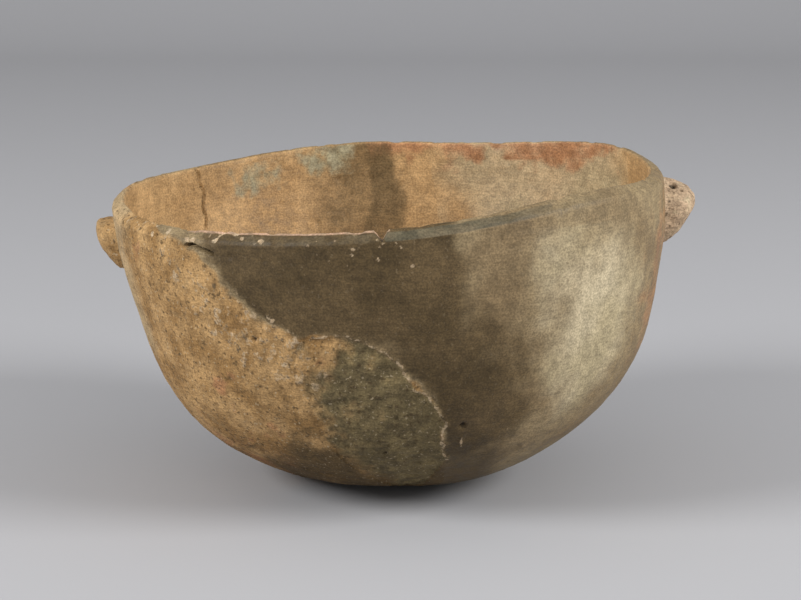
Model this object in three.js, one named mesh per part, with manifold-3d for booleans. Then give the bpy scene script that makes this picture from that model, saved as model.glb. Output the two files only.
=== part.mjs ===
// A round-based bowl of coiled and burnished clay, with two small lugs below the rim.
// Millimetres, +Z up. The origin is the middle of the worn spot that the bowl rests on.
// The pot is made as its potter made it: a pinched base, coils laid on it with bevelled joints,
// a thin last coil drawn up into the lip, and two lumps of clay luted on as lugs.
// Each piece is shaped in the vessel's own upright frame, and the whole vessel then leans.
import * as THREE from "three";
import { ParametricGeometry } from "three/addons/geometries/ParametricGeometry.js";
import { mergeVertices } from "three/addons/utils/BufferGeometryUtils.js";
import Module from "manifold-3d";

// Driving dimensions of the vessel, in its own upright frame
const HEIGHT = 90.4; // from the lowest point of the base to the mean rim
const PROFILE = [
  // height and outer radius, up the wall
  [0, 0],
  [4, 31.8],
  [12, 48.3],
  [24, 62.6],
  [40, 72.2],
  [60, 77.4],
  [76, 80.4],
  [HEIGHT, 80.9],
];
const BASE_THICKNESS = 6.6;
const LIP_THICKNESS = 4.4;
const LIP_BEVEL = 1.9; // how far the lip's outer edge lies below its inner edge
const OUT_OF_ROUND = 0.6; // the rim is this much wider than round across the lugs
const BELLY_SHIFT = 1.2; // the belly hangs this far to the right of the rim and the base

// The rim rises and falls: waves around it, their height, and the azimuth of one crest
const RIM_WAVES = [
  [2, 0.82, -30],
  [3, 0.56, 57],
  [4, 0.49, 24],
  [5, 0.73, 29],
];

// How the vessel stands
const LEAN = THREE.MathUtils.degToRad(3.7); // towards -X
const WORN_DEPTH = 0.72; // clay worn off the spot that it rests on

// Joints between the pieces of clay
const COIL_TOPS = [11, 22, 35, 49, 66.5, 85]; // heights of the joints on the outside
const JOINT_SLOPE = 5; // how far a joint drops from the outside to the inside, along the wall
const JOINT_CROWN = 0.9; // how far a coil's upper edge is domed into the next one
const JOINT_GAP = 0.42; // along the wall, 0.3 across the sloping joint

// Damage that changes the shape
const SPALL = { azimuth: -112, height: 14, radius: 46, depth: 1.3 };
const NOTCH = { azimuth: -90.8, width: 3.4, depth: 1.9 };
const SLIT = { azimuth: -131.5, height: 84.8, length: 6.4, opening: 0.9, depth: 3.2 };

// Lugs, measured from the wall outwards and from the base upwards
const LUG_GAP = 0.3;
const LUG_ROOT = 5; // how far the raw lump reaches into the wall before it is cut to fit
const LEFT_LUG = {
  azimuth: 180,
  reach: 6.9,
  tipHeight: 80,
  rise: 3.2,
  flatness: 8,
  drop: 12.3,
  halfWidth: 10.5,
  roll: 0,
};
const RIGHT_LUG = {
  azimuth: 0,
  reach: 9.6,
  tipHeight: 79.8,
  rise: 5.4,
  flatness: 1.6,
  drop: 12.8,
  halfWidth: 11.5,
  roll: 9,
};
const LUG_PIT = { out: 2.6, side: -1.5, up: 4.4, radius: 1.1, length: 2.3 };

// Fineness of the facets
const SEGMENTS = 72;
const BASE_ROWS = 8;
const COIL_ROWS = 3;
const LUG_SIDES = 20;
const LUG_ROWS = 10;

const wasm = await Module();
wasm.setup();
const { Manifold, Mesh: SolidMesh } = wasm;

// The profile as a smooth curve through its stations. Its parameter is the square root of the height,
// so that the base closes round: 0 at the middle of the base and 1 at the rim.
const STATIONS = PROFILE.map(([height, radius]) => [Math.sqrt(height / HEIGHT), radius]);
const MIRRORED = [[-STATIONS[1][0], -STATIONS[1][1]], ...STATIONS];

function slopeAt(station) {
  const before = MIRRORED[station];
  const after = MIRRORED[Math.min(station + 2, MIRRORED.length - 1)];
  return (after[1] - before[1]) / (after[0] - before[0]);
}

function outerRadius(t) {
  let i = 0;
  while (i < STATIONS.length - 2 && t > STATIONS[i + 1][0]) i += 1;
  const [start, low] = STATIONS[i];
  const [end, high] = STATIONS[i + 1];
  const span = end - start;
  const u = (t - start) / span;
  const fromLow = 2 * u ** 3 - 3 * u ** 2 + 1;
  const lowSlope = (u ** 3 - 2 * u ** 2 + u) * span * slopeAt(i);
  const highSlope = (u ** 3 - u ** 2) * span * slopeAt(i + 1);
  return fromLow * low + lowSlope + (1 - fromLow) * high + highSlope;
}

// Direction of the wall, up the profile, at a parameter
function wallDirection(t) {
  const step = 1e-4;
  const rise = (HEIGHT * ((t + step) ** 2 - (t - step) ** 2)) / (2 * step);
  const spread = (outerRadius(t + step) - outerRadius(t - step)) / (2 * step);
  return new THREE.Vector2(spread, rise);
}

const paramAt = (height) => Math.sqrt(height / HEIGHT);
const thicknessAt = (t) => THREE.MathUtils.lerp(BASE_THICKNESS, LIP_THICKNESS, t);

// The point of the true round vessel at a parameter, sunk under the outer surface by a depth
function profilePoint(t, depth) {
  const along = wallDirection(t).normalize();
  return new THREE.Vector2(outerRadius(t) - depth * along.y, HEIGHT * t ** 2 + depth * along.x);
}

const radians = THREE.MathUtils.degToRad;

function rimWave(azimuth) {
  let wave = 0;
  for (const [count, height, crest] of RIM_WAVES) wave += height * Math.cos(count * (azimuth - radians(crest)));
  return wave;
}

function roundPoint(azimuth, t, depth) {
  const { x: radius, y: height } = profilePoint(t, depth);
  return new THREE.Vector3(radius * Math.cos(azimuth), radius * Math.sin(azimuth), height);
}

// How much clay has come off the outer surface there
function spallDepth(azimuth, t) {
  const middle = roundPoint(radians(SPALL.azimuth), paramAt(SPALL.height), 0);
  const away = roundPoint(azimuth, t, 0).distanceTo(middle) / SPALL.radius;
  return SPALL.depth * (1 - THREE.MathUtils.smoothstep(away, 0.5, 1));
}

// The point of the uneven vessel at an azimuth
function vesselPoint(azimuth, t, depth) {
  const remaining = 1 - depth / thicknessAt(t);
  const point = roundPoint(azimuth, t, depth + remaining * spallDepth(azimuth, t));
  const level = point.z / HEIGHT;
  const outOfRound = (OUT_OF_ROUND / outerRadius(1)) * level * Math.cos(2 * azimuth);
  const spread = Math.hypot(point.x, point.y) / outerRadius(1);
  point.x *= 1 + outOfRound;
  point.y *= 1 + outOfRound;
  point.x += BELLY_SHIFT * Math.sin(Math.PI * level);
  point.z += rimWave(azimuth) * spread * level ** 3;
  return point;
}

// Solids and geometries

function solidFrom(geometry) {
  const bare = geometry.clone();
  bare.deleteAttribute("normal");
  bare.deleteAttribute("uv");
  const merged = mergeVertices(bare, 1e-3);
  return new Manifold(
    new SolidMesh({
      numProp: 3,
      vertProperties: merged.attributes.position.array,
      triVerts: new Uint32Array(merged.index.array),
    }),
  );
}

function geometryFrom(solid) {
  const mesh = solid.getMesh();
  const geometry = new THREE.BufferGeometry();
  geometry.setAttribute("position", new THREE.BufferAttribute(mesh.vertProperties, 3));
  geometry.setIndex(new THREE.BufferAttribute(mesh.triVerts, 1));
  geometry.computeVertexNormals();
  return geometry;
}

// Revolves a section of wall, given as parameters and depths, and presses it into the uneven vessel
function revolve(section) {
  const outline = section.map(([t, depth]) => profilePoint(t, depth));
  const geometry = new THREE.LatheGeometry(outline, SEGMENTS);
  const position = geometry.attributes.position;
  for (let i = 0; i <= SEGMENTS; i += 1) {
    const azimuth = (2 * Math.PI * (i % SEGMENTS)) / SEGMENTS - Math.PI / 2;
    section.forEach(([t, depth], j) => {
      position.setXYZ(i * section.length + j, ...vesselPoint(azimuth, t, depth).toArray());
    });
  }
  return solidFrom(geometry);
}

// Sections of the wall

// The faces of a joint run down and inwards from the outside, domed in the middle.
// side is -1 for the edge of the coil below it and 1 for the edge of the coil above it.
function jointEdge(joint, side) {
  const t = paramAt(COIL_TOPS[joint]);
  const speed = wallDirection(t).length();
  return [0, 1 / 3, 2 / 3, 1].map((through) => {
    const along = JOINT_CROWN * Math.sin(Math.PI * through) - JOINT_SLOPE * through + (side * JOINT_GAP) / 2;
    const here = t + along / speed;
    return [here, through * thicknessAt(here)];
  });
}

// Points between two ends of a face, without the ends themselves
function between([startT, startDepth], [endT, endDepth], rows) {
  const points = [];
  for (let row = 1; row < rows; row += 1) {
    const t = THREE.MathUtils.lerp(startT, endT, row / rows);
    points.push([t, startDepth === 0 && endDepth === 0 ? 0 : thicknessAt(t)]);
  }
  return points;
}

// The lip: its outer edge is bevelled down and its inner edge is rounded over
function lipEdge() {
  const lipPoint = (below, through) => [paramAt(HEIGHT - below), through * LIP_THICKNESS];
  return [
    lipPoint(LIP_BEVEL + 1.2, 0),
    lipPoint(LIP_BEVEL, 0.14),
    lipPoint(LIP_BEVEL * 0.45, 0.42),
    lipPoint(0, 0.76),
    lipPoint(0.9, 1),
  ];
}

function closedSection(lower, upper) {
  const outer = between(lower[0], upper[0], COIL_ROWS);
  const inner = between(upper.at(-1), lower.at(-1), COIL_ROWS);
  const bottom = lower.slice(0, -1).reverse();
  return [lower[0], ...outer, ...upper, ...inner, lower.at(-1), ...bottom];
}

function baseSection() {
  const upper = jointEdge(0, -1);
  const outer = between([0, 0], upper[0], BASE_ROWS);
  const inner = between(upper.at(-1), [0, BASE_THICKNESS], BASE_ROWS);
  return [[0, 0], ...outer, ...upper, ...inner, [0, BASE_THICKNESS]];
}

// Where the vessel stands

// The lowest point of the leaning outside, from the vessel's own frame turned into the leaning one
function lowestPoint() {
  const upright = new THREE.Vector3(0, 1, 0);
  let lowest = new THREE.Vector3(0, 0, Infinity);
  for (let t = 0; t < 0.2; t += 2e-4) {
    const { x: radius, y: height } = profilePoint(t, 0);
    const point = new THREE.Vector3(-radius, 0, height).applyAxisAngle(upright, -LEAN);
    if (point.z < lowest.z) lowest = point;
  }
  return lowest;
}

const vessel = new THREE.Group();
vessel.rotation.y = -LEAN;
const touch = lowestPoint();
vessel.position.set(-touch.x, 0, -touch.z - WORN_DEPTH);
vessel.updateMatrix();

// A block that fills the space under the floor, in the vessel's own frame
function floorBlock() {
  const size = 400;
  const block = new THREE.BoxGeometry(size, size, size).translate(0, 0, -size / 2);
  return solidFrom(block.applyMatrix4(vessel.matrix.clone().invert()));
}

// Damage

// Places a tool for a cut on the outside of the wall: X runs outwards, Y along the wall and Z up
function placeOnWall(geometry, azimuthDegrees, height) {
  const azimuth = radians(azimuthDegrees);
  const place = new THREE.Matrix4().makeRotationZ(azimuth);
  return geometry.applyMatrix4(place.setPosition(vesselPoint(azimuth, paramAt(height), 0)));
}

function notchCutter() {
  const wedge = new THREE.Shape();
  wedge.moveTo(0, -NOTCH.depth);
  wedge.lineTo(NOTCH.width / 2, 1);
  wedge.lineTo(-NOTCH.width / 2, 1);
  const reach = 4 * LIP_THICKNESS;
  const cutter = new THREE.ExtrudeGeometry(wedge, { depth: reach, bevelEnabled: false });
  cutter.translate(0, 0, -reach / 2).rotateX(Math.PI / 2).rotateZ(Math.PI / 2);
  return solidFrom(placeOnWall(cutter, NOTCH.azimuth, HEIGHT));
}

function slitCutter() {
  const lens = new THREE.SphereGeometry(0.5, 10, 6);
  lens.scale(2 * SLIT.depth, SLIT.length, SLIT.opening);
  return solidFrom(placeOnWall(lens, SLIT.azimuth, SLIT.height));
}

// Lugs

// The outer faces of the wall, grown by the gap that a lug keeps to them
function wallBody() {
  const outside = [];
  const rows = 16;
  for (let row = 0; row <= rows; row += 1) {
    outside.push([paramAt(THREE.MathUtils.lerp(45, HEIGHT - LIP_BEVEL - 0.5, row / rows)), -LUG_GAP]);
  }
  const top = outside.at(-1)[0];
  const bottom = outside[0][0];
  return revolve([...outside, [top, 20], [bottom, 20], outside[0]]);
}

// One lug, lofted outwards from the wall. Its section is widest at the height of its tip: above that it
// rises to the top face, and below it falls away to the wall.
function makeLug(lug, body) {
  const tip = (sine, power) => Math.sign(sine) * Math.abs(sine) ** power;
  const loft = new ParametricGeometry(
    (u, v, target) => {
      const row = Math.round(v * LUG_ROWS);
      const outwards = 1 - (1 - Math.max(row - 2, 0) / (LUG_ROWS - 2)) ** 1.7;
      const open = row === 0 ? 0 : 1;
      const turn = 2 * Math.PI * u;
      const side = lug.halfWidth * Math.sqrt(1 - outwards ** 2) * tip(Math.cos(turn), 0.8);
      const rise = lug.rise * Math.sqrt(1 - outwards ** lug.flatness);
      const drop = lug.drop * (1 - outwards) ** 0.6;
      const up = Math.sin(turn) > 0 ? rise * tip(Math.sin(turn), 0.7) : drop * tip(Math.sin(turn), 1.1);
      target.set(row < 2 ? -LUG_ROOT : lug.reach * outwards, open * side, open * up);
    },
    LUG_SIDES,
    LUG_ROWS,
  );
  loft.rotateX(radians(lug.roll));
  return solidFrom(placeOnWall(loft, lug.azimuth, lug.tipHeight)).subtract(body);
}

function pitCutter(lug) {
  const pit = new THREE.SphereGeometry(1, 10, 6);
  pit.scale(LUG_PIT.radius, LUG_PIT.length, LUG_PIT.radius).rotateZ(radians(35));
  pit.translate(LUG_PIT.out, LUG_PIT.side, LUG_PIT.up).rotateX(radians(lug.roll));
  return solidFrom(placeOnWall(pit, lug.azimuth, lug.tipHeight));
}

// The pieces

const fired = (color, roughness) => new THREE.MeshStandardMaterial({ color, roughness, metalness: 0 });

function addPiece(name, solid, material) {
  const piece = new THREE.Mesh(geometryFrom(solid), material);
  piece.name = name;
  vessel.add(piece);
}

addPiece("base_cap", revolve(baseSection()).subtract(floorBlock()), fired("#7d6544", 0.85));

const COIL_COLOURS = ["#80683f", "#7c6646", "#786247", "#6f5c43", "#6a573f"];
const slit = slitCutter();
COIL_COLOURS.forEach((colour, i) => {
  const coil = revolve(closedSection(jointEdge(i, 1), jointEdge(i + 1, -1)));
  const top = i === COIL_COLOURS.length - 1;
  addPiece(`wall_coil_${i + 1}`, top ? coil.subtract(slit) : coil, fired(colour, 0.75));
});

const rim = revolve(closedSection(jointEdge(COIL_TOPS.length - 1, 1), lipEdge()));
addPiece("rim_coil", rim.subtract(notchCutter()).subtract(slit), fired("#75624a", 0.7));

const body = wallBody();
addPiece("left_lug", makeLug(LEFT_LUG, body), fired("#94784e", 0.8));
addPiece("right_lug", makeLug(RIGHT_LUG, body).subtract(pitCutter(RIGHT_LUG)), fired("#9c8262", 0.8));

const bowl = new THREE.Group();
bowl.add(vessel);

export default bowl;
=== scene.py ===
"""Looks of the hand-built pottery bowl: worn, burnished and partly spalled clay around the CAD frame.

The wall is one grid of points that runs up the outside, over the lip and down the inside. It is pressed,
chipped and scarred as one surface, and then cut into the same pieces of clay as the CAD nodes.
Shapes are in millimetres in the vessel's own upright frame until a mesh is made, in metres.
"""

import math

import bpy
import numpy as np
from mathutils import Matrix, Vector


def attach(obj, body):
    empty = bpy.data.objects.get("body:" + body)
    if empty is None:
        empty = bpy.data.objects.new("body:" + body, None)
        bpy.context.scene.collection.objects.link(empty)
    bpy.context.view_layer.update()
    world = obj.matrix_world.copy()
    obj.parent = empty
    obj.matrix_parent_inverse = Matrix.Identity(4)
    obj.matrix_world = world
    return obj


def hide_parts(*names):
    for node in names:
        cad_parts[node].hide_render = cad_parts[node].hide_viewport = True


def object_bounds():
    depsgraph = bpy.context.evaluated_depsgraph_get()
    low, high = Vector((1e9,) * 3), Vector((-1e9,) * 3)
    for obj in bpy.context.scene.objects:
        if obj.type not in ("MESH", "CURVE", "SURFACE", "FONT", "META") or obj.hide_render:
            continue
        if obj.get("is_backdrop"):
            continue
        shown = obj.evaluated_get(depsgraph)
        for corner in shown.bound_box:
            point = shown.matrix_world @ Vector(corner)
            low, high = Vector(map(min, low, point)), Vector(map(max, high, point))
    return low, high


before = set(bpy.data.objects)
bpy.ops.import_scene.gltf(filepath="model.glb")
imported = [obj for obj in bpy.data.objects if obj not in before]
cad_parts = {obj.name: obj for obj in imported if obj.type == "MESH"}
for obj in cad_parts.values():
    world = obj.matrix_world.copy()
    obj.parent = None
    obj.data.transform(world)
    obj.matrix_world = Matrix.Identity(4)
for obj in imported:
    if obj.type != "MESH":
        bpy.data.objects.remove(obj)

cad_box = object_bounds()
MM = 0.001
rng = np.random.default_rng(20)

# The vessel, as in the CAD source

HEIGHT = 90.4
PROFILE = np.array(
    [(0, 0), (4, 31.8), (12, 48.3), (24, 62.6), (40, 72.2), (60, 77.4), (76, 80.4), (HEIGHT, 80.9)]
)
RIM_RADIUS = PROFILE[-1, 1]
BASE_THICKNESS = 6.6
LIP_THICKNESS = 4.4
LIP_BEVEL = 1.9
OUT_OF_ROUND = 0.6
BELLY_SHIFT = 1.2
RIM_WAVES = [(2, 0.82, -30), (3, 0.56, 57), (4, 0.49, 24), (5, 0.73, 29)]
LEAN = math.radians(3.7)
WORN_DEPTH = 0.72
COIL_TOPS = [11, 22, 35, 49, 66.5, 85]
JOINT_SLOPE = 5
JOINT_CROWN = 0.9
SPALL = {"azimuth": -112, "height": 14, "radius": 46, "depth": 1.3}
PIECES = ["base_cap", "wall_coil_1", "wall_coil_2", "wall_coil_3", "wall_coil_4", "wall_coil_5", "rim_coil"]

# Fineness of the grid: numbers of columns and rows, and millimetres from row to row

COLUMNS = 960
JOINT_ROWS = 6
LIP_ROWS = 19
OUTER_ROW = 0.62
UPPER_ROW = 0.42
INNER_ROW = 0.8
LENGTH_SAMPLES = 60

# Near the middle of the base, a row skips columns until its points are about this far apart
WIDEST_SKIP = 0.66
LONGEST_STRIDE = 32


def lerp(a, b, t):
    return a + (b - a) * t


def smoothstep(x, low, high):
    t = np.clip((x - low) / (high - low), 0, 1)
    return t * t * (3 - 2 * t)


# The profile, read at a parameter that is 0 at the middle of the base and 1 at the rim

STATION_T = np.sqrt(PROFILE[:, 0] / HEIGHT)
STATION_R = PROFILE[:, 1]
PROFILE_STEP = 1e-4
TOUCH_SEARCH = 0.2
TOUCH_STEP = 2e-4


def station_slopes():
    t = np.concatenate([[-STATION_T[1]], STATION_T, STATION_T[-1:]])
    r = np.concatenate([[-STATION_R[1]], STATION_R, STATION_R[-1:]])
    return (r[2:] - r[:-2]) / (t[2:] - t[:-2])


STATION_SLOPE = station_slopes()


def outer_radius(t):
    i = np.clip(np.searchsorted(STATION_T, t, side="left") - 1, 0, len(STATION_T) - 2)
    span = STATION_T[i + 1] - STATION_T[i]
    u = (t - STATION_T[i]) / span
    low = 2 * u**3 - 3 * u**2 + 1
    low_slope = (u**3 - 2 * u**2 + u) * span * STATION_SLOPE[i]
    high_slope = (u**3 - u**2) * span * STATION_SLOPE[i + 1]
    return low * STATION_R[i] + low_slope + (1 - low) * STATION_R[i + 1] + high_slope


def wall_direction(t):
    """How fast the profile spreads and rises with its parameter."""
    before, after = t - PROFILE_STEP, t + PROFILE_STEP
    rise = HEIGHT * (after**2 - before**2) / (2 * PROFILE_STEP)
    spread = (outer_radius(after) - outer_radius(before)) / (2 * PROFILE_STEP)
    return spread, rise


def param_at(height):
    """The parameter at a height of the even vessel."""
    return np.sqrt(np.maximum(height, 0.0) / HEIGHT)


def thickness_at(t):
    """The wall's thickness, which falls evenly with the parameter."""
    return lerp(BASE_THICKNESS, LIP_THICKNESS, t)


def round_point(azimuth, t, depth):
    """The point of an even vessel at a depth under its outer surface."""
    spread, rise = wall_direction(t)
    length = np.hypot(spread, rise)
    radius = outer_radius(t) - depth * rise / length
    height = HEIGHT * t**2 + depth * spread / length
    return np.stack([radius * np.cos(azimuth), radius * np.sin(azimuth), height + 0 * azimuth], -1)


def rim_wave(azimuth):
    """How far the rim rises and falls on its way round."""
    return sum(a * np.cos(n * (azimuth - math.radians(crest))) for n, a, crest in RIM_WAVES)


def vessel_point(azimuth, t, depth):
    """The point of the uneven vessel, as in the CAD source."""
    azimuth, t, depth = np.broadcast_arrays(azimuth, t, depth)
    middle = round_point(np.radians(SPALL["azimuth"]), param_at(SPALL["height"]), 0)
    away = np.linalg.norm(round_point(azimuth, t, 0 * depth) - middle, axis=-1) / SPALL["radius"]
    lost = SPALL["depth"] * (1 - smoothstep(away, 0.5, 1))
    point = round_point(azimuth, t, depth + (1 - depth / thickness_at(t)) * lost)
    level = point[..., 2] / HEIGHT
    wave = rim_wave(azimuth) * np.hypot(point[..., 0], point[..., 1]) / RIM_RADIUS * level**3
    point[..., :2] *= (1 + OUT_OF_ROUND / RIM_RADIUS * level * np.cos(2 * azimuth))[..., None]
    point[..., 0] += BELLY_SHIFT * np.sin(math.pi * level)
    point[..., 2] += wave
    return point


def lowest_point():
    """Where the outside is lowest once the vessel leans, as its x and its height, as in the CAD source."""
    t = np.arange(0, TOUCH_SEARCH, TOUCH_STEP)
    radius, height = outer_radius(t), HEIGHT * t**2
    across = -radius * math.cos(LEAN) - height * math.sin(LEAN)
    level = height * math.cos(LEAN) - radius * math.sin(LEAN)
    lowest = np.argmin(level)
    return across[lowest], level[lowest]


TOUCH = lowest_point()
STAND = np.array(
    Matrix.Translation(Vector((-TOUCH[0], 0, -TOUCH[1] - WORN_DEPTH))) @ Matrix.Rotation(-LEAN, 4, "Y")
)


def to_frame(points):
    """Points of the vessel's own frame as metres in the row frame."""
    return (points @ STAND[:3, :3].T + STAND[:3, 3]) * MM


# Noise on points, the same on every run

CELL_FACTORS = (374761393, 668265263, 2147483647)
SEED_FACTOR = 144665
MIX_FACTORS = (1274126177, 974634777)
LOW_BITS = 0x7FFFFFFF
FAR_CORNER = 1000.5
FINER = 2.1
WEAKER = 0.5


def lattice(cell, seed):
    """A random value from -1 to 1 for each cell."""
    h = sum(cell[..., axis] * CELL_FACTORS[axis] for axis in range(3)) + seed * SEED_FACTOR
    h = (h ^ (h >> 13)) * MIX_FACTORS[0] & LOW_BITS
    h = (h ^ (h >> 16)) * MIX_FACTORS[1] & LOW_BITS
    return (h ^ (h >> 15)) / LOW_BITS * 2 - 1


def noise(points, size, seed):
    """Smooth noise from -1 to 1 whose lumps are about size millimetres across."""
    p = points / size + FAR_CORNER
    cell = np.floor(p).astype(np.int64)
    f = p - cell
    f = f * f * f * (f * (f * 6 - 15) + 10)
    total = 0
    for corner in range(8):
        offset = np.array([corner & 1, corner >> 1 & 1, corner >> 2 & 1])
        weight = np.prod(np.where(offset, f, 1 - f), axis=-1)
        total = total + weight * lattice(cell + offset, seed)
    return total


def layered(points, size, seed, octaves=3):
    """Noise with finer and weaker noise on it."""
    total = sum(noise(points, size / FINER**k, seed + k) * WEAKER**k for k in range(octaves))
    return total / sum(WEAKER**k for k in range(octaves))


# The rows of the grid, each at a parameter and at a share of the wall's thickness under its outer surface

# The outline of the lip from outside to inside: millimetres under the rim, and share
LIP_CORNERS = [(LIP_BEVEL + 1.2, 0), (LIP_BEVEL, 0.1), (LIP_BEVEL * 0.45, 0.42), (0, 0.78), (0.9, 1)]


def wall_length(low, high):
    t = np.linspace(low, high, LENGTH_SAMPLES)
    spread, rise = wall_direction(t)
    speed = np.hypot(spread, rise)
    return float(abs(np.sum((speed[1:] + speed[:-1]) / 2 * np.diff(t))))


def rows_between(low, high, spacing, share):
    count = max(2, math.ceil(wall_length(low, high) / spacing))
    return [(t, share) for t in np.linspace(low, high, count + 1)[:-1]]


def inner_param(joint):
    """The parameter at which a joint comes out on the inside."""
    t = param_at(COIL_TOPS[joint])
    return float(t - JOINT_SLOPE / np.hypot(*wall_direction(t)))


def lip_rows():
    """The lip: bevelled on the outside, rounded over on the inside."""
    corners = range(len(LIP_CORNERS))
    places = np.linspace(0, corners[-1], LIP_ROWS)
    below, share = [np.interp(places, corners, values) for values in zip(*LIP_CORNERS)]
    soft = np.array([0.25, 0.5, 0.25])
    below[1:-1] = np.convolve(below, soft, "valid")
    share[1:-1] = np.convolve(share, soft, "valid")
    return list(zip(param_at(HEIGHT - below), share))


def build_rows():
    """All rows, and for each joint its row on the outside and on the inside."""
    rows = []
    outside = []
    low = 0.0
    for top in COIL_TOPS:
        high = float(param_at(top))
        rows += rows_between(low, high, UPPER_ROW if top == COIL_TOPS[-1] else OUTER_ROW, 0)
        outside.append(len(rows))
        low = high
    lip = lip_rows()
    rows += rows_between(low, lip[0][0], UPPER_ROW, 0) + lip[:-1]
    inside = []
    high = lip[-1][0]
    for joint in reversed(range(len(COIL_TOPS))):
        rows += rows_between(high, inner_param(joint), INNER_ROW, 1)
        inside.append(len(rows))
        high = inner_param(joint)
    rows += rows_between(high, 0.0, INNER_ROW, 1) + [(0.0, 1)]
    return np.array(rows), outside, inside[::-1]


# The grid over the wall

ROWS, OUTSIDE, INSIDE = build_rows()
AZIMUTHS = np.arange(COLUMNS) * 2 * math.pi / COLUMNS - math.pi / 2
COLUMN_STEP = AZIMUTHS[1] - AZIMUTHS[0]
T = np.repeat(ROWS[:, :1], COLUMNS, axis=1)
SHARE = np.repeat(ROWS[:, 1:], COLUMNS, axis=1)
HEIGHTS = HEIGHT * T**2
DEGREES = np.tile(np.degrees(AZIMUTHS), (len(ROWS), 1))
wall = vessel_point(AZIMUTHS[None, :], ROWS[:, :1], ROWS[:, 1:] * thickness_at(ROWS[:, :1]))

# How far each row has come from the middle of the base, and which points are outer and inner surface
PATH = np.concatenate([[0], np.cumsum(np.linalg.norm(np.diff(wall[:, 0], axis=0), axis=-1))])
OUTER = 1 - smoothstep(SHARE, 0.88, 1.0)
INNER = smoothstep(SHARE, 0.6, 1.0)

# One ragged field over the wall, turned to another place for each edge that it frays
RAGGED = layered(wall, 26, 1) + 0.8 * layered(wall, 7, 2, 4)
RAGGED_TURN = 137

# The least and the most strength of a scattered bump
BUMP_STRENGTHS = (0.45, 1)


def normals_of(points):
    """Normals of the grid, from the differences between neighbours."""
    across = np.roll(points, -1, 1) - np.roll(points, 1, 1)
    up = np.gradient(points, axis=0)
    n = np.cross(across, up)
    length = np.linalg.norm(n, axis=-1, keepdims=True)
    n = n / np.maximum(length, 1e-9)
    n[0] = (0, 0, -1)
    n[-1] = (0, 0, 1)
    return n


# Places on the wall


def on_wall(outline, inner=False):
    """Azimuths in degrees and heights as points of the wall. Heights past the rim go straight up."""
    azimuth = np.radians([p[0] for p in outline])
    height = np.array([p[1] for p in outline], float)
    t = param_at(np.minimum(height, HEIGHT))
    points = vessel_point(azimuth, t, thickness_at(t) if inner else 0 * t)
    points[:, 2] += np.maximum(height - HEIGHT, 0)
    return points


def distance_to(points, line):
    """Distance from points to a line of straight stretches."""
    nearest = np.full(points.shape[:-1], np.inf)
    for a, b in zip(line[:-1], line[1:]):
        along = np.clip((points - a) @ (b - a) / max((b - a) @ (b - a), 1e-9), 0, 1)
        nearest = np.minimum(nearest, np.linalg.norm(points - a - along[..., None] * (b - a), axis=-1))
    return nearest


def within(outline):
    """Which points of the grid lie inside an outline of azimuths and heights."""
    inside = np.zeros(T.shape, bool)
    middle = sum(p[0] for p in outline) / len(outline)
    degrees = (DEGREES - middle + 180) % 360 - 180 + middle
    for (x0, y0), (x1, y1) in zip(outline, outline[1:] + outline[:1]):
        crosses = (HEIGHTS < y0) != (HEIGHTS < y1)
        inside ^= crosses & (degrees < x0 + (HEIGHTS - y0) * (x1 - x0) / ((y1 - y0) or 1e-9))
    return inside


def region(outline, softness, ragged, seed, inner=False):
    """1 inside an outline on the wall and 0 outside it, over a soft and ragged edge."""
    line = on_wall(outline + outline[:1], inner)
    distance = distance_to(wall, line) * np.where(within(outline), 1, -1)
    distance += ragged * np.roll(RAGGED, RAGGED_TURN * seed, axis=1)
    return smoothstep(distance, -softness, softness) * (INNER if inner else OUTER)


def groove(line, width, depth, wobble, seed, inner=False):
    """The relief of a groove along a line on the wall, and its share of the full depth."""
    path = on_wall(line, inner)
    lowest, highest = path.min(0) - 3 * width, path.max(0) + 3 * width
    near = np.all((wall > lowest) & (wall < highest), axis=-1)
    share = np.zeros(T.shape)
    points = wall[near]
    shift = wobble * np.stack([layered(points, 3, seed + k) for k in range(3)], -1)
    share[near] = np.clip(1 - (distance_to(points + shift, path) / width) ** 2, 0, 1)
    return -depth * share, share


def scatter(weight, count, sizes, depth):
    """Small bumps of random places and sizes, likelier where the weight is high: their relief and share."""
    area = np.hypot(wall[..., 0], wall[..., 1]) * np.gradient(PATH)[:, None]
    chance = (weight * area).ravel()
    lift, share = np.zeros(T.shape), np.zeros(T.shape)
    for place in rng.choice(chance.size, count, p=chance / chance.sum()):
        row, column = divmod(place, COLUMNS)
        size = rng.uniform(*sizes)
        strength = rng.uniform(*BUMP_STRENGTHS)
        rows = np.flatnonzero(np.abs(PATH - PATH[row]) < size)
        ring = max(float(np.hypot(*wall[row, column, :2])), 1)
        reach = min(COLUMNS // 2, int(size / ring / COLUMN_STEP) + 1)
        columns = np.arange(column - reach, column + reach + 1) % COLUMNS
        window = np.ix_(rows, columns)
        away = np.linalg.norm(wall[window] - wall[row, column], axis=-1) / size
        bump = strength * smoothstep(1 - away, 0, 0.5)
        lift[window] += depth * size * bump
        share[window] = np.maximum(share[window], bump)
    return lift, share


def dab(azimuth, height, radius):
    """1 at a spot on the outside, falling to 0 at its radius."""
    away = np.linalg.norm(wall - on_wall([(azimuth, height)])[0], axis=-1)
    return smoothstep(1 - away / radius, 0, 0.6) * (SHARE < 1)


# Marks on the outside, as outlines of azimuth in degrees and height

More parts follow.
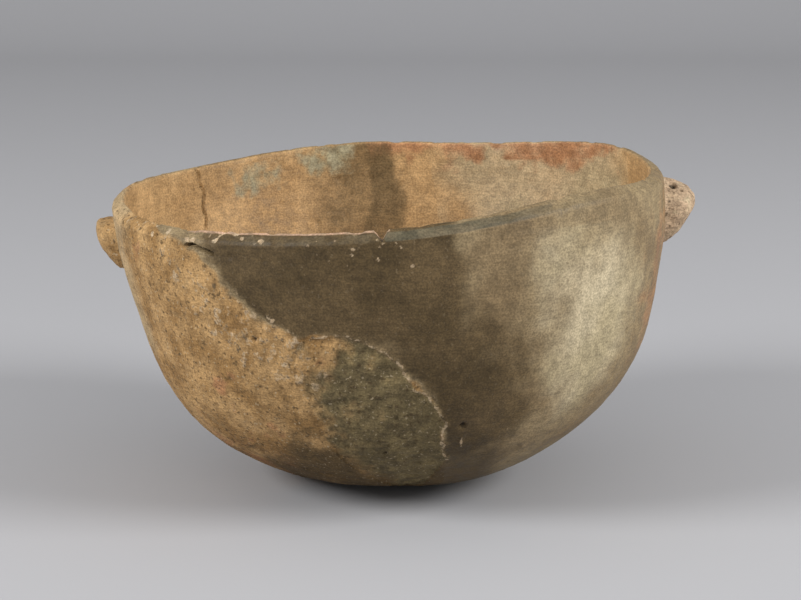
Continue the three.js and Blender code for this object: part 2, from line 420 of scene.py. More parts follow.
TAN_SIDE = [
    (-200, 92), (-150, 92), (-142, 89), (-136, 87), (-131, 84), (-126, 80), (-122.5, 71.5), (-117.5, 64),
    (-109.5, 61), (-99.5, 60.5), (-94.5, 57), (-88, 47), (-82, 37.5), (-80, 29), (-78, 15), (-72, 2),
    (-72, -1), (-262, -1), (-262, 92),
]
SPALL_EDGE = [
    (-107, 61), (-103, 61.8), (-99.5, 61), (-97, 60), (-94.5, 57.5), (-92, 55), (-90.5, 53), (-88.6, 49),
    (-87, 44.5), (-84, 42), (-82, 37.5), (-80, 33), (-80.8, 29), (-80, 25), (-78, 18.5),
]
SPALL_FLOOR = [(-82, 4), (-95, 3), (-104, 12), (-110, 27), (-112, 42), (-112, 52), (-111, 59)]
SOOT_BAND = [
    (-133, 105), (-100, 108), (-76, 105), (-75, 80), (-74, 66), (-76, 50), (-84, 44), (-92, 57), (-103, 59),
    (-117, 62), (-126, 76),
]
OLIVE_SHADE = [(-100, 60), (-74, 66), (-64, 54), (-59, 36), (-62, 20), (-72, 12), (-92, 22), (-98, 40)]
# Painted shade over the front of the tan side, away from the left lamp, laid into the soot mask, and painted
# light on its far left, facing that lamp, laid into the pale mask
TAN_PAINTED_SHADE = [(-126, 62), (-98, 62), (-98, 4), (-124, 4)]
TAN_PAINTED_LIGHT = [(-195, 112), (-152, 112), (-156, 46), (-190, 46)]
# The pale side is pale clay with a painted highlight on it
PALE_SIDE = [(-62, 84), (-36, 82), (-28, 62), (-34, 36), (-50, 26), (-57, 42), (-61, 58)]
RED_SIDE = [(-24, 90), (8, 88), (10, 40), (-20, 18), (-30, 50)]
# Painted shade low round the front of the foot, laid into the soot mask
FOOT_PAINTED_SHADE = [(-165, 12), (-124, 27), (-100, 38), (-60, 24), (-40, 6), (-70, 0), (-110, 0), (-150, 0)]
RED_FOOT = [(-150, 30), (-118, 24), (-112, 6), (-130, 2), (-160, 4), (-165, 18)]
DARK_PATCH = [(-103, 58), (-99.5, 58), (-100, 46), (-104, 44)]
BACK_CLOUD = [(60, 80), (100, 84), (128, 66), (118, 34), (84, 22), (52, 40)]
PALE_BACK = [(20, 76), (44, 80), (50, 50), (34, 22), (14, 34)]
CRUST_FIELD = [(-140, 84), (-122, 74), (-108, 62), (-104, 52), (-112, 44), (-124, 52), (-134, 66)]
SPECK_BAND = [(-106, 89), (-86, 88), (-86, 80), (-106, 83)]

# Marks on the inside

INNER_SMUDGE = [(90, 87), (96, 88), (95, 76), (98, 60), (88, 54), (88, 72)]
INNER_SHADE = [(114, 112), (86, 112), (84, 46), (114, 46)]
INNER_RED = [(22, 92), (98, 92), (92, 85), (70, 84), (44, 85), (24, 86)]
INNER_PALE = [(18, 112), (82, 112), (78, 46), (18, 46)]
INNER_GREEN = [(99, 91), (115, 91), (112, 80), (101, 82)]
INNER_STAIN = [(116, 88), (133, 89), (130, 78), (117, 80)]

# Marks on the lip

LIP_DARK = [(-124, 110), (-30, 110), (-36, 80), (-124, 80)]
LIP_PINK = [(-134, 105), (-89, 105), (-89, 80), (-134, 80)]
CHIPPED_LIP = [(-158, 93), (-113, 93), (-113, 87), (-158, 87)]
LIP_FADE = {"start": -80, "end": -45, "loss": 0.45}
NOTCH = {"azimuth": -90.8, "half_width": 2.1, "depth": 3.0}

# Lines, and spots with their radius

SLITS = [[(-132.8, 86.7), (-131.2, 86.7), (-130, 86.2)], [(-130, 86.1), (-128.4, 85.6), (-126, 84.7)]]
CRACK = [
    (143, 92), (141.6, 88), (142.2, 85.5), (141, 83), (141.2, 80), (141.9, 77), (141.6, 74), (142.4, 70.5),
]
STREAK = [(-75.8, 27.5), (-75.4, 24)]
PITS = [(-145.5, 89.2, 1.1), (-142.5, 88.4, 0.8), (-76, 31.5, 1.3), (-120, 60, 0.9), (-95, 22, 1.0)]
PINK_SPOT = (-111, 60, 2.4)

# Patches of colour: mask, outline, strength, softness and raggedness of the edge in millimetres, and seed

OUTER_PATCHES = [
    ("band", SOOT_BAND, 1, 9, 5, 2),
    ("band", OLIVE_SHADE, 1, 14, 7, 3),
    ("soot_and_shade", FOOT_PAINTED_SHADE, 0.86, 12, 8, 18),
    ("soot_and_shade", BACK_CLOUD, 0.9, 14, 16, 4),
    ("soot_and_shade", DARK_PATCH, 1.3, 2.5, 4, 5),
    ("soot_and_shade", TAN_PAINTED_SHADE, 0.48, 16, 7, 20),
    ("pale_and_highlight", PALE_SIDE, 0.96, 21, 6, 8),
    ("pale_and_highlight", PALE_BACK, 0.6, 14, 14, 9),
    ("pale_and_highlight", TAN_PAINTED_LIGHT, 0.62, 14, 7, 21),
    ("red", RED_SIDE, 0.55, 16, 9, 10),
    ("red", RED_FOOT, 0.55, 10, 14, 11),
]
INNER_PATCHES = [
    ("soot_and_shade", INNER_SMUDGE, 0.78, 5, 6, 6),
    ("soot_and_shade", INNER_SHADE, 0.64, 14, 11, 7),
    ("pale_and_highlight", INNER_PALE, 0.7, 17, 6, 19),
    ("red", INNER_RED, 0.8, 6, 10, 12),
    ("green", INNER_GREEN, 0.8, 7, 5, 13),
    ("green", INNER_STAIN, 0.8, 8, 6, 14),
]

# How much the tan side covers the dark band, and how much the spalled clay covers all soot and painted shade
BAND_COVER = 0.85
SOOT_AND_SHADE_COVER = 0.15

# Where the tan side gives out round the back, and how far that edge wanders, in degrees
BACK_EDGE = (-232, -176)
BACK_WANDER = 22

# Where the spalled clay turns from tan to grey, in degrees, and how far that edge wanders
GREY_EDGE = (232, 268)
GREY_WANDER = 14

# Darker towards the bottom of the inside: its strength, the heights over which it gives out, and how far
# they wander
INNER_BOTTOM_DARKENING = 0.32
INNER_BOTTOM_DARKENING_EDGE = (8, 44)
INNER_BOTTOM_DARKENING_WANDER = 9


def patches(key):
    """The strongest patch of a mask at each point of the grid."""
    found = [
        strength * region(outline, softness, ragged, seed, inner)
        for table, inner in ((OUTER_PATCHES, False), (INNER_PATCHES, True))
        for mask, outline, strength, softness, ragged, seed in table
        if mask == key
    ]
    return np.max(found, axis=0)


def blotches(turn, low, high):
    """Blotches over the whole wall, from the ragged field turned by some columns."""
    return smoothstep(np.roll(RAGGED, turn, axis=1), low, high)


def paint_wall():
    """The masks over the grid that the clay's material reads."""
    behind = (DEGREES + 270) % 360 - 270 + BACK_WANDER * layered(wall, 30, 60)
    tan = region(TAN_SIDE, 2.2, 3.5, 1) * smoothstep(behind, *BACK_EDGE)
    spall = region(SPALL_EDGE + SPALL_FLOOR, 1.2, 1.0, 15)
    inner_bottom_darkening = INNER_BOTTOM_DARKENING * INNER * (1 - smoothstep(HEIGHTS + INNER_BOTTOM_DARKENING_WANDER * RAGGED, *INNER_BOTTOM_DARKENING_EDGE))
    # The soot mask holds real soot and fire clouds, and also painted shade at the foot and on the tan side
    soot_and_shade = np.maximum(patches("band") * (1 - BAND_COVER * tan), patches("soot_and_shade"))
    soot_and_shade = np.maximum(soot_and_shade, inner_bottom_darkening) * (1 - SOOT_AND_SHADE_COVER * spall)
    pale_and_highlight = np.maximum(patches("pale_and_highlight"), 0.42 * tan * blotches(650, 0.1, 0.6))
    red = np.maximum(patches("red"), 0.7 * tan * blotches(400, 0.1, 0.7))
    round_turn = DEGREES + 360 * (DEGREES < 0)
    grey = spall * smoothstep(round_turn + GREY_WANDER * RAGGED, *GREY_EDGE)
    bevel = smoothstep(HEIGHTS, HEIGHT - 3.4, HEIGHT - 2.6) * (SHARE < 1)
    edge = smoothstep(SHARE, 0.42, 0.7) * (HEIGHTS > HEIGHT - 2)
    faded = LIP_FADE["loss"] * smoothstep(DEGREES, LIP_FADE["start"], LIP_FADE["end"])
    lip = bevel * (1 - edge) * region(LIP_DARK, 9, 9, 16) * (1 - faded)
    return {
        "tan": tan,
        "soot_and_shade": soot_and_shade,
        "pale_and_highlight": pale_and_highlight,
        "red": red,
        "green": patches("green"),
        "spall": spall,
        "grey": grey,
        "lip": lip,
        "pink": edge * region(LIP_PINK, 4, 3, 17),
        "inside": smoothstep(SHARE, 0.7, 1.0),
    }


def carve_wall(masks):
    """The relief over the grid, and the masks of its crusts and of the painted shade in its hollows."""
    spall, tan = masks["spall"], masks["tan"]
    crust, hollow_and_shade = np.zeros(T.shape), np.zeros(T.shape)

    # Dents left by the hands, marks of burnishing, the rough clay, the spalled floor and the worn rim
    smooth = (1 - spall) * (1 - 0.6 * tan)
    lift = 0.34 * layered(wall, 36, 20) + 0.12 * layered(wall, 13, 21)
    lift += 0.05 * noise(wall / (9, 9, 1), 1.4, 22) * smooth + 0.03 * noise(wall, 2.2, 23)
    lift += tan * 0.10 * layered(wall, 2.6, 24) + tan * 0.16 * layered(wall, 7, 25)
    lift += spall * (0.30 * layered(wall, 3.0, 26) + 0.10 * noise(wall, 1.2, 27) - 0.5)
    lift += -0.25 * np.abs(layered(wall, 6, 28)) * smoothstep(HEIGHTS, HEIGHT - 3, HEIGHT - 1)

    def add(relief, share, target=None, strength=1.0):
        lift[...] += relief
        if target is not None:
            target[...] = np.maximum(target, strength * share)

    # Marks with a place of their own
    add(*groove(SPALL_EDGE, 0.9, -0.55, 1.0, 30), crust, 0.85)
    for slit in SLITS:
        add(*groove(slit, 0.55, 3.0, 0.35, 31), hollow_and_shade)
    add(*groove(CRACK, 0.52, 1.6, 0.7, 33, inner=True), hollow_and_shade)
    add(*groove(STREAK, 0.6, -0.25, 0.3, 34), crust, 0.8)
    for azimuth, height, radius in PITS:
        spot = dab(azimuth, height, radius)
        add(-0.9 * radius * spot, spot, hollow_and_shade, 0.9)
    spot = dab(*PINK_SPOT)
    add(0.35 * spot, spot, crust, 0.75)

    # Scattered marks: where, how many, their sizes, their height for their size, mask and strength
    everywhere = OUTER * (HEIGHTS > 1)
    crusty = region(CRUST_FIELD, 4, 3, 35)
    chipped = region(CHIPPED_LIP, 1, 1, 36) * smoothstep(HEIGHTS, HEIGHT - 3.5, HEIGHT - 2)
    lip_zone = smoothstep(HEIGHTS, HEIGHT - 2.4, HEIGHT - 1.2) * (SHARE < 1)
    specked = region(SPECK_BAND, 2, 1, 37)
    inner_face = SHARE == 1
    scattered = [
        (crusty, 170, (0.8, 2.3), 0.13, crust, 0.75),
        (spall, 170, (0.8, 1.6), 0.2, crust, 0.4),
        (spall + 0.3 * tan, 240, (0.8, 1.3), -0.3, hollow_and_shade, 0.5),
        (chipped, 40, (0.7, 1.7), -0.2, crust, 0.9),
        (lip_zone, 70, (0.8, 3.2), -0.14, None, 1),
        (lip_zone, 60, (0.7, 1.0), 0.1, crust, 0.6),
        (specked, 30, (0.7, 1.0), 0.1, crust, 0.75),
        (everywhere * (1 - spall), 240, (0.7, 1.2), -0.22, hollow_and_shade, 0.45),
        (everywhere, 120, (0.7, 1.2), 0.1, crust, 0.5),
        (inner_face, 150, (0.9, 1.5), -0.2, hollow_and_shade, 0.4),
        (inner_face, 80, (0.9, 1.4), 0.1, crust, 0.45),
    ]
    for weight, count, sizes, depth, target, strength in scattered:
        add(*scatter(weight, count, sizes, depth), target, strength)
    masks["crust"], masks["hollow_and_shade"] = crust, hollow_and_shade
    return lift


def cut_notch(points):
    """Presses the V-shaped notch into the rim."""
    turn = np.radians(DEGREES - NOTCH["azimuth"] + 180) % (2 * math.pi) - math.pi
    aside = np.abs(turn) * RIM_RADIUS
    rim = HEIGHT + rim_wave(np.radians(DEGREES))
    floor = rim - NOTCH["depth"] * (1 - aside / NOTCH["half_width"])
    height = points[..., 2]
    points[..., 2] = np.where(aside < NOTCH["half_width"], np.minimum(height, floor), height)


# Meshes


def stitch(lower, upper):
    """Triangles between two closed rows of points, of like length or one twice the other's."""
    if len(lower) == len(upper):
        a, b = np.roll(lower, -1), np.roll(upper, -1)
        return np.concatenate([np.stack([lower, a, b], 1), np.stack([lower, b, upper], 1)])
    if len(lower) == 1:
        return np.stack([np.repeat(lower, len(upper)), np.roll(upper, -1), upper], 1)
    if len(upper) == 1:
        return np.stack([lower, np.roll(lower, -1), np.repeat(upper, len(lower))], 1)
    if len(lower) > len(upper):
        return stitch(upper, lower)[:, ::-1]
    even, odd = upper[::2], upper[1::2]
    after, next_even = np.roll(lower, -1), np.roll(even, -1)
    corners = [(lower, odd, even), (lower, after, odd), (after, next_even, odd)]
    return np.concatenate([np.stack(corner, 1) for corner in corners])


def make_mesh(name, points, normals, triangles, masks, material):
    """A mesh in metres from points in the vessel's frame, with its shading normals and its masks."""
    turned = normals @ STAND[:3, :3].T
    placed = to_frame(points)
    placed[:, 2] = np.maximum(placed[:, 2], 0)
    mesh = bpy.data.meshes.new(name)
    mesh.vertices.add(len(placed))
    mesh.vertices.foreach_set("co", placed.astype(np.float32).ravel())
    mesh.loops.add(triangles.size)
    mesh.loops.foreach_set("vertex_index", triangles.astype(np.int32).ravel())
    mesh.polygons.add(len(triangles))
    mesh.polygons.foreach_set("loop_start", np.arange(0, triangles.size, 3, dtype=np.int32))
    mesh.update(calc_edges=True)
    mesh.validate()
    mesh.shade_smooth()
    mesh.normals_split_custom_set_from_vertices(turned.astype(np.float32))
    for key, values in masks.items():
        attribute = mesh.attributes.new(key, "FLOAT", "POINT")
        attribute.data.foreach_set("value", np.clip(values, 0, 1).astype(np.float32))
    mesh.materials.append(material)
    piece = bpy.data.objects.new(name, mesh)
    bpy.context.scene.collection.objects.link(piece)
    return piece


def stride_at(row):
    """How many columns a row near the middle of the base may skip."""
    radius = float(np.hypot(*wall[row, 0, :2]))
    stride = 1
    while stride < LONGEST_STRIDE and radius * COLUMN_STEP * stride * 2 < WIDEST_SKIP:
        stride *= 2
    return stride


def wall_piece(name, points, normals, masks, material):
    """One piece of clay, cut from the grid at its joints and closed by the faces of the joints."""
    index = PIECES.index(name)
    last = len(ROWS) - 1
    starts, ends = [0] + OUTSIDE, OUTSIDE + [INSIDE[-1]]
    stretches = [np.arange(starts[index], ends[index] + 1)]
    if index < len(OUTSIDE):
        stretches.append(np.arange(INSIDE[index], (INSIDE[index - 1] if index else last) + 1))
    parts, part_normals, part_masks, rings = [], [], [], []

    def add_row(row_points, row_normals, row_masks):
        first = sum(len(p) for p in parts)
        parts.append(row_points)
        part_normals.append(row_normals)
        part_masks.append(row_masks)
        rings.append(np.arange(first, first + len(row_points)))

    def add_joint(start, end):
        """The face of a joint, a row at a time between its ends, domed up in the middle."""
        for k in range(1, JOINT_ROWS):
            through = k / JOINT_ROWS
            middle = lerp(points[start], points[end], through)
            middle[:, 2] += JOINT_CROWN * math.sin(math.pi * through)
            add_row(middle, normals[start], {key: 0 * values[start] for key, values in masks.items()})

    for number, stretch in enumerate(stretches):
        for row in stretch:
            # The first and the last row of the grid are one point each
            picked = slice(1) if row in (0, last) else slice(None, None, stride_at(row))
            row_masks = {key: values[row, picked] for key, values in masks.items()}
            add_row(points[row, picked], normals[row, picked], row_masks)
        if number == 0 and index < len(OUTSIDE):
            add_joint(OUTSIDE[index], INSIDE[index])
    if index:
        add_joint(INSIDE[index - 1], OUTSIDE[index - 1])
        rings.append(rings[0])
    triangles = np.concatenate([stitch(a, b) for a, b in zip(rings[:-1], rings[1:])])
    joined = {key: np.concatenate([m[key] for m in part_masks]) for key in masks}
    all_points, all_normals = np.concatenate(parts), np.concatenate(part_normals)
    return make_mesh(name + "_clay", all_points, all_normals, triangles, joined, material)


# Lugs

LUG_ROWS = 84
LUG_SIDES = 144
LUG_ROOT = 4  # how deep a lug's root goes into the wall
LUG_ROOT_SHARE = 0.12  # the root's share of the rows, next to the rest
LUG_SMEAR = 0.7  # how far the clay of a lug is smeared on to the wall around it
LUG_TIP = 0.9995  # where the last row stops short of the very tip
LUG_WALL = (50, 88)  # the heights of the wall that a lug may meet
LUG_SWELL = 0.45  # the relief of a lug's lumps, which also takes that much off all round
ROW_CROWDING = 1.7  # how much closer the rows come towards the tip
SIDE_POWER = 0.8  # below 1 the outline is fuller than an ellipse, above 1 leaner
TOP_POWER = 0.7
UNDERSIDE_POWER = 1.1
DROP_POWER = 0.6  # how the underside runs back to the wall
LEFT_LUG = {
    "azimuth": 180, "reach": 6.9, "tip": 80, "rise": 3.2, "flatness": 8, "drop": 12.3, "half_width": 10.5,
    "roll": 0,
}
RIGHT_LUG = {
    "azimuth": 0, "reach": 9.6, "tip": 79.8, "rise": 5.4, "flatness": 1.6, "drop": 12.8, "half_width": 11.5,
    "roll": 9,
}
LEFT_TONES = {"tan": 0.9, "pale_and_highlight": 0.2, "soot_and_shade": 0.15}
RIGHT_TONES = {"tan": 0.95, "pale_and_highlight": 0.85, "red": 0.3, "pink": 0.72}

# Pits in the right lug: how far out, aside and up each is, its radius and half its length
LUG_PITS = [(2.6, -1.5, 4.4, 1.4, 3.0), (4.6, -4.4, 3.0, 0.9, 1.4), (7.6, -2.0, 1.2, 0.7, 1.8)]
PIT_DEPTH = 1.2


def signed_power(value, power):
    return np.sign(value) * np.abs(value) ** power


def turned_by(a, b, angle):
    """Two coordinates turned about the axis that is square to both."""
    return a * math.cos(angle) - b * math.sin(angle), a * math.sin(angle) + b * math.cos(angle)


def lug_points(lug):
    """The lump of a lug, lofted outwards, with the clay smeared on to the wall around its root."""
    v = np.linspace(-LUG_ROOT_SHARE, 1, LUG_ROWS)[:, None]
    turn = (np.arange(LUG_SIDES) * 2 * math.pi / LUG_SIDES)[None, :]
    outwards = np.minimum(1 - (1 - np.clip(v, 0, 1)) ** ROW_CROWDING, LUG_TIP)
    side = lug["half_width"] * np.sqrt(1 - outwards**2) * signed_power(np.cos(turn), SIDE_POWER)
    rise = lug["rise"] * np.sqrt(1 - outwards ** lug["flatness"]) * signed_power(np.sin(turn), TOP_POWER)
    drop = lug["drop"] * (1 - outwards) ** DROP_POWER * signed_power(np.sin(turn), UNDERSIDE_POWER)
    up = np.where(np.sin(turn) > 0, rise, drop)
    out = np.where(v < 0, LUG_ROOT * v / LUG_ROOT_SHARE, lug["reach"] * outwards) + 0 * turn
    azimuth = math.radians(lug["azimuth"])
    local = np.stack([out, *turned_by(side, up, math.radians(lug["roll"]))], -1)
    turned = np.stack([*turned_by(local[..., 0], local[..., 1], azimuth), local[..., 2]], -1)
    points = turned + vessel_point(np.array(azimuth), param_at(lug["tip"]), np.array(0.0))
    around = np.arctan2(points[..., 1], points[..., 0])
    surface = vessel_point(around, param_at(np.clip(points[..., 2], *LUG_WALL)), 0 * around)
    gap = np.hypot(points[..., 0], points[..., 1]) - np.hypot(surface[..., 0], surface[..., 1])
    spread = np.stack([0 * gap, turned[..., 1], turned[..., 2]], -1)
    spread /= np.maximum(np.linalg.norm(spread, axis=-1, keepdims=True), 1e-6)
    points += spread * (LUG_SMEAR * np.exp(-np.maximum(gap, 0) / LUG_SMEAR))[..., None]
    return points, local


def lug_normals(points):
    """Normals of a lug's rows, where the end rows take those of the rows next to them."""
    normals = normals_of(points)
    normals[0], normals[-1] = normals[1], normals[-2]
    return normals


def with_middles(rows):
    """All points of the rows, then the middle of the first row and of the last."""
    return np.concatenate([rows.reshape(-1, 3), rows[0].mean(0)[None], rows[-1].mean(0)[None]])


def lug_piece(name, lug, material, tones, pits=()):
    """One lug, uneven and pitted, as a mesh that is closed at both ends."""
    points, local = lug_points(lug)
    lift = LUG_SWELL * layered(points, 6, 50) + 0.14 * layered(points, 1.8, 51) - LUG_SWELL
    hollow_and_shade = np.zeros(lift.shape)
    for out, side, up, radius, length in pits:
        across = np.hypot(local[..., 0] - out, local[..., 2] - up) / radius
        away = np.hypot(across, (local[..., 1] - side) / length)
        hollow_and_shade = np.maximum(hollow_and_shade, smoothstep(1.25 - away, 0, 0.8))
    lift -= PIT_DEPTH * hollow_and_shade
    points = points + lug_normals(points) * lift[..., None]
    masks = {key: np.full(lift.shape, tones.get(key, 0.0)) for key in MASKS}
    # Painted shade in the pits
    masks["hollow_and_shade"] = hollow_and_shade
    masks["crust"] = smoothstep(noise(points, 1.6, 52), 0.55, 0.8) * 0.7
    masks["red"] = tones.get("red", 0) * smoothstep(layered(points, 7, 53), -0.3, 0.5)
    masks["soot_and_shade"] = tones.get("soot_and_shade", 0) * smoothstep(layered(points, 6, 54), -0.2, 0.5)
    count = LUG_ROWS * LUG_SIDES
    rings = list(np.arange(count).reshape(LUG_ROWS, LUG_SIDES))
    triangles = [stitch(a, b) for a, b in zip(rings[:-1], rings[1:])]
    triangles += [stitch(np.array([count]), rings[0]), stitch(rings[-1], np.array([count + 1]))]
    all_masks = {key: np.concatenate([m.ravel(), m[0, :1], m[-1, :1]]) for key, m in masks.items()}
    all_points, all_normals = with_middles(points), with_middles(lug_normals(points))
    return make_mesh(name + "_clay", all_points, all_normals, np.concatenate(triangles), all_masks, material)


# Clay, as nodes

# Each layer of colour: its mask, its two tones, the size of its patches in millimetres, and how ragged it is
LAYERS = [
    ("inside", (0.47, 0.295, 0.135), (0.37, 0.225, 0.098), 14, 0.2),
    ("tan", (0.45, 0.275, 0.118), (0.275, 0.156, 0.058), 9, 0.35),
    # The pale layer's light tones serve pale clay and also painted highlight and painted light
    ("pale_and_highlight", (0.52, 0.435, 0.285), (0.38, 0.31, 0.185), 20, 0.3),
    ("red", (0.46, 0.20, 0.092), (0.36, 0.175, 0.08), 7, 0.5),
    # The soot layer's dark tones serve real soot and also painted shade
    ("soot_and_shade", (0.070, 0.046, 0.019), (0.115, 0.076, 0.034), 18, 0.3),
    ("grey", (0.195, 0.148, 0.070), (0.115, 0.086, 0.042), 5, 0.45),
    ("green", (0.25, 0.245, 0.155), (0.34, 0.30, 0.19), 4, 0.6),
    ("lip", (0.085, 0.074, 0.045), (0.14, 0.11, 0.065), 5, 0.4),
    ("pink", (0.58, 0.36, 0.24), (0.36, 0.25, 0.16), 3, 0.45),
    ("crust", (0.66, 0.53, 0.36), (0.46, 0.33, 0.20), 1.3, 0.9),
    # Painted shade: near-black tones in the pits, slits, crack and small dents
    ("hollow_and_shade", (0.012, 0.008, 0.004), (0.05, 0.032, 0.016), 2, 0.2),
]
MASKS = [layer[0] for layer in LAYERS] + ["spall"]
BURNISHED_TONES = (0.20, 0.138, 0.070), (0.27, 0.20, 0.108)
DARK_GRIT = (0.07, 0.045, 0.02)
PALE_GRIT = (0.55, 0.44, 0.29)
CLAY_GLOSS = 0.22
BUMP_HEIGHT = 0.25 * MM


class Clay:
    """Builds the clay's nodes in a new material."""

    def __init__(self, name):
        self.material = bpy.data.materials.new(name)
        self.material.use_nodes = True
        self.nodes = self.material.node_tree.nodes
        self.links = self.material.node_tree.links
        self.shader = self.nodes["Principled BSDF"]
        self.place = self.nodes.new("ShaderNodeTexCoord").outputs["Object"]

    def put(self, kind, sockets, **settings):
        made = self.nodes.new(kind)
        for key, value in settings.items():
            setattr(made, key, value)
        for key, value in sockets.items():
            if isinstance(value, bpy.types.NodeSocket):
                self.links.new(value, made.inputs[key])
            else:
                made.inputs[key].default_value = value
        return made

    def noise(self, size, detail=3.0, squash=1.0):
        """Noise with patches of a size in millimetres, flattened into lines where squash is above 1."""
        stretch = self.put("ShaderNodeMapping", {"Vector": self.place, "Scale": (1, 1, squash)})
        sockets = {"Vector": stretch.outputs[0], "Scale": 1 / (size * MM), "Detail": detail}
        return self.put("ShaderNodeTexNoise", sockets).outputs["Fac"]

    def math(self, operation, a, b):
        return self.put("ShaderNodeMath", {0: a, 1: b}, operation=operation).outputs[0]

    def ease(self, value, low, high, to_low=0.0, to_high=1.0):
        sockets = {"Value": value, "From Min": low, "From Max": high, "To Min": to_low, "To Max": to_high}
        return self.put("ShaderNodeMapRange", sockets, interpolation_type="SMOOTHSTEP").outputs[0]

    def mix(self, factor, a, b):
        made = self.put("ShaderNodeMix", {"Factor": factor}, data_type="RGBA")
        for socket, value in ((made.inputs[6], a), (made.inputs[7], b)):
            if isinstance(value, bpy.types.NodeSocket):
                self.links.new(value, socket)
            else:
                socket.default_value = (*value, 1)
        return made.outputs[2]

    def mask(self, key):
        return self.put("ShaderNodeAttribute", {}, attribute_name=key).outputs["Fac"]


def clay_material(name, wear):
    """Fired clay: tones laid over each other by the masks, grit in the fabric, and its grain as bump."""
    clay = Clay(name)
    colour = clay.mix(clay.ease(clay.noise(26), 0.35, 0.65), *BURNISHED_TONES)
    for key, light, dark, size, ragged in LAYERS:
        patch = clay.noise(size, 5)
        edge = clay.math("MULTIPLY", clay.math("SUBTRACT", patch, 0.5), ragged * 2)
        amount = clay.ease(clay.math("ADD", clay.mask(key), edge), 0.25 + ragged * 0.3, 0.95)
        tone = clay.mix(clay.ease(patch, 0.35, 0.65), light, dark)
        colour = clay.mix(amount, colour, tone)

    lines = clay.noise(5, 3, squash=9)
    mottle = clay.noise(3.2, 5)
    grain = clay.noise(0.55, 2)
    fine = clay.noise(1.3, 3)
    rough_ground = clay.math("MAXIMUM", clay.mask("tan"), clay.mask("spall"))

    shade = clay.ease(lines, 0.3, 0.7, 0.90, 1.08)
    shade = clay.math("MULTIPLY", shade, clay.ease(mottle, 0.3, 0.7, 0.84, 1.14))
    shade = clay.math("MULTIPLY", shade, clay.ease(grain, 0.3, 0.7, 0.76, 1.22))
    colour = clay.put("ShaderNodeVectorMath", {0: colour, "Scale": shade}, operation="SCALE").outputs[0]
    dark_share = clay.ease(rough_ground, 0, 1, 0.2, 0.75)
    colour = clay.mix(clay.math("MULTIPLY", clay.ease(fine, 0.56, 0.70), dark_share), colour, DARK_GRIT)
    specks = clay.ease(clay.noise(0.9, 1), 0.64, 0.76)
    pale_share = clay.ease(rough_ground, 0, 1, 0.08, 0.45)
    colour = clay.mix(clay.math("MULTIPLY", specks, pale_share), colour, PALE_GRIT)
    clay.links.new(colour, clay.shader.inputs["Base Color"])

    roughness = clay.ease(mottle, 0.3, 0.7, 0.50, 0.64)
    roughness = clay.math("ADD", roughness, clay.ease(rough_ground, 0, 1, 0, 0.25))
    clay.links.new(roughness, clay.shader.inputs["Roughness"])
    clay.shader.inputs["Specular IOR Level"].default_value = CLAY_GLOSS

    height = clay.math("ADD", clay.math("MULTIPLY", grain, 0.5), fine)
    height = clay.math("ADD", height, clay.math("MULTIPLY", lines, 0.8))
    strength = clay.ease(rough_ground, 0, 1, 0.35 * wear, 0.8)
    bump = clay.put("ShaderNodeBump", {"Height": height, "Strength": strength, "Distance": BUMP_HEIGHT})
    clay.links.new(bump.outputs[0], clay.shader.inputs["Normal"])
    return clay.material


# The bowl

# How much of the clay's grain each material shows where it isn't rough
WEAR = {"burnished_clay": 1.0, "lip_clay": 1.0, "lug_clay": 1.3}
materials = {slot: clay_material(slot, wear) for slot, wear in WEAR.items()}


def build_bowl():
    """Each piece of the bowl, with the node it replaces and its material slot."""
    masks = paint_wall()
    lift = carve_wall(masks)
    points = wall + normals_of(wall) * lift[..., None]
    cut_notch(points)
    normals = normals_of(points)
    for name in PIECES:
        slot = "lip_clay" if name == "rim_coil" else "burnished_clay"
        yield name, slot, wall_piece(name, points, normals, masks, materials[slot])
    lug_clay = materials["lug_clay"]
    yield "left_lug", "lug_clay", lug_piece("left_lug", LEFT_LUG, lug_clay, LEFT_TONES)
    yield "right_lug", "lug_clay", lug_piece("right_lug", RIGHT_LUG, lug_clay, RIGHT_TONES, LUG_PITS)


for node_name, slot_name, piece in build_bowl():
    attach(piece, "root")
    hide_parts(node_name)

# Studio

FLOOR_COLOUR = (0.42, 0.42, 0.435, 1)
FLOOR_ROUGHNESS = 0.95
FLOOR_GLOSS = 0.1
WORLD_STRENGTH = 0.55
LAMPS = {"left_lamp": (-1.1, -0.55, 0.75), "right_lamp": (1.1, -0.45, 0.7)}
LAMP_SIZE = 0.6
LAMP_POWER = 15
LAMP_TARGET = Vector((0, 0, 0.05))
CAMERA_PLACE = (0.00698, -0.700, 0.2049)
CAMERA_TILT = math.radians(77.77)
LENS = 107.6
SENSOR_WIDTH = 36


def stage_material():
    material = bpy.data.materials.new("studio_floor")
    material.use_nodes = True
    shader = material.node_tree.nodes["Principled BSDF"]
    shader.inputs["Base Color"].default_value = FLOOR_COLOUR
    shader.inputs["Roughness"].default_value = FLOOR_ROUGHNESS
    shader.inputs["Specular IOR Level"].default_value = FLOOR_GLOSS
    return material


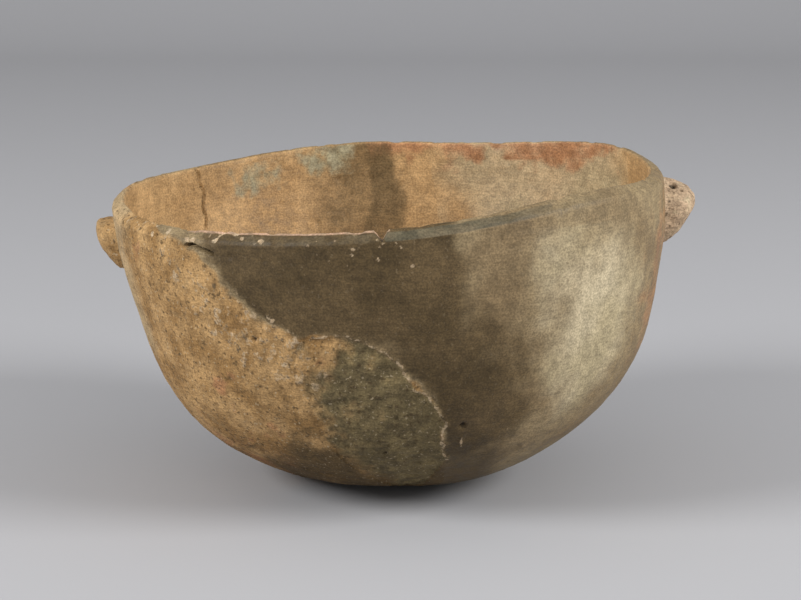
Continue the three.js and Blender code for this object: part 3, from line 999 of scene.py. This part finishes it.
def build_stage():
    """A floor that sweeps up into a backdrop."""
    half_width, front, back, bend, top = 3.0, -2.5, 1.1, 0.5, 2.5
    turn = np.linspace(0, math.pi / 2, 24)
    profile = [(front, 0.0)]
    profile += [(back + bend * math.sin(a), bend * (1 - math.cos(a))) for a in turn] + [(back + bend, top)]
    vertices = [(x, y, z) for y, z in profile for x in (-half_width, half_width)]
    faces = [(2 * i, 2 * i + 1, 2 * i + 3, 2 * i + 2) for i in range(len(profile) - 1)]
    mesh = bpy.data.meshes.new("studio_floor")
    mesh.from_pydata(vertices, [], faces)
    mesh.shade_smooth()
    mesh.materials.append(stage_material())
    floor = bpy.data.objects.new("studio_floor", mesh)
    bpy.context.scene.collection.objects.link(floor)
    floor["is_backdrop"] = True


def add_lamp(name, place):
    lamp = bpy.data.lights.new(name, "AREA")
    lamp.shape = "DISK"
    lamp.size = LAMP_SIZE
    lamp.energy = LAMP_POWER
    holder = bpy.data.objects.new(name, lamp)
    holder.location = place
    holder.rotation_euler = (LAMP_TARGET - Vector(place)).to_track_quat("-Z", "Y").to_euler()
    bpy.context.scene.collection.objects.link(holder)


def light_scene():
    world = bpy.data.worlds.new("studio")
    world.use_nodes = True
    world.node_tree.nodes["Background"].inputs["Color"].default_value = (1, 1, 1, 1)
    world.node_tree.nodes["Background"].inputs["Strength"].default_value = WORLD_STRENGTH
    bpy.context.scene.world = world
    for name, place in LAMPS.items():
        add_lamp(name, place)


def add_camera():
    """A camera with the view of the photograph. Its distance, about 70 cm, is an assumption."""
    camera = bpy.data.cameras.new("camera")
    camera.sensor_width = SENSOR_WIDTH
    camera.lens = LENS
    holder = bpy.data.objects.new("camera", camera)
    holder.location = CAMERA_PLACE
    holder.rotation_euler = (CAMERA_TILT, 0, 0)
    bpy.context.scene.collection.objects.link(holder)
    bpy.context.scene.camera = holder


build_stage()
light_scene()
add_camera()
bpy.context.scene.view_settings.view_transform = "Standard"

visual_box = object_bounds()
[[list(corner) for corner in box] for box in (cad_box, visual_box)]
